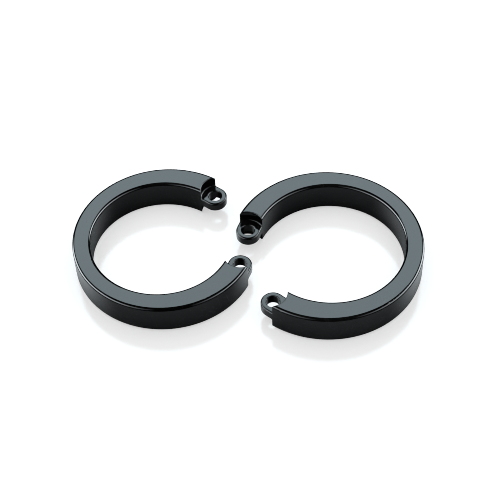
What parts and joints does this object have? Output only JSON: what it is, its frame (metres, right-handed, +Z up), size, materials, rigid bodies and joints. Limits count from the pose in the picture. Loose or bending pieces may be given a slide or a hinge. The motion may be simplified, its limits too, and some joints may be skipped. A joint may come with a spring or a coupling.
{
  "type": "shaft collar",
  "caption": "Open C-shaped collar rings in gloss black plastic. Each ring has a flat hinge eye at both ends, for a pinned link that closes its mouth around a pipe or shaft.",
  "frame": {"origin": "bottom centre of the box around both rings, on the surface they lie on", "axes": "+X from the left ring's centre to the right ring's centre, +Z up along both rings' axes, +Y completes a right-handed frame"},
  "size_m": [0.1196, 0.0654, 0.0118],
  "materials": {
    "gloss_black_plastic": "high gloss, injection moulded"
  },
  "bodies": {
    "left_ring": {"left_ring": "gloss_black_plastic"},
    "right_ring": {"right_ring": "gloss_black_plastic"}
  },
  "joints": [
    {"name": "right_ring_slide", "type": "slide", "parent": "left_ring", "child": "right_ring", "axis": [1, 0, 0], "range_m": [0, 0.07]}
  ]
}
